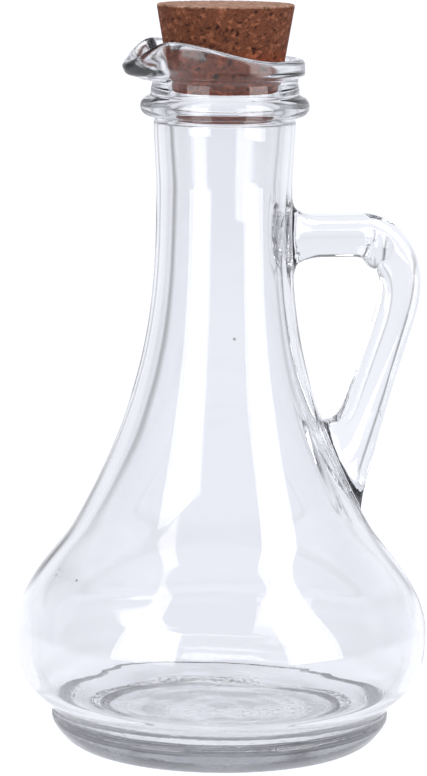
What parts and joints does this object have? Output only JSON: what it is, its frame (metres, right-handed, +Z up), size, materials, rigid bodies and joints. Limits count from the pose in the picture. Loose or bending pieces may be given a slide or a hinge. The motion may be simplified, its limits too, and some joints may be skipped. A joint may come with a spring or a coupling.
{
  "type": "oil and vinegar bottle",
  "caption": "Clear glass oil and vinegar bottle with a round belly, slim neck, open pouring lip, side handle and a tapered cork.",
  "frame": {"origin": "centre of the foot's underside, on the bottle's axis", "axes": "+Z up along the bottle's axis, +X towards the handle, -X towards the pouring lip, +Y across"},
  "size_m": [0.0898, 0.0898, 0.16],
  "materials": {
    "clear_glass": "smooth pressed clear glass with a faint blue cast",
    "cork": "dull pressed-granule cork, reddish brown with dark pits"
  },
  "bodies": {
    "root": {"bottle": "clear_glass", "stopper": "cork"}
  },
  "joints": []
}
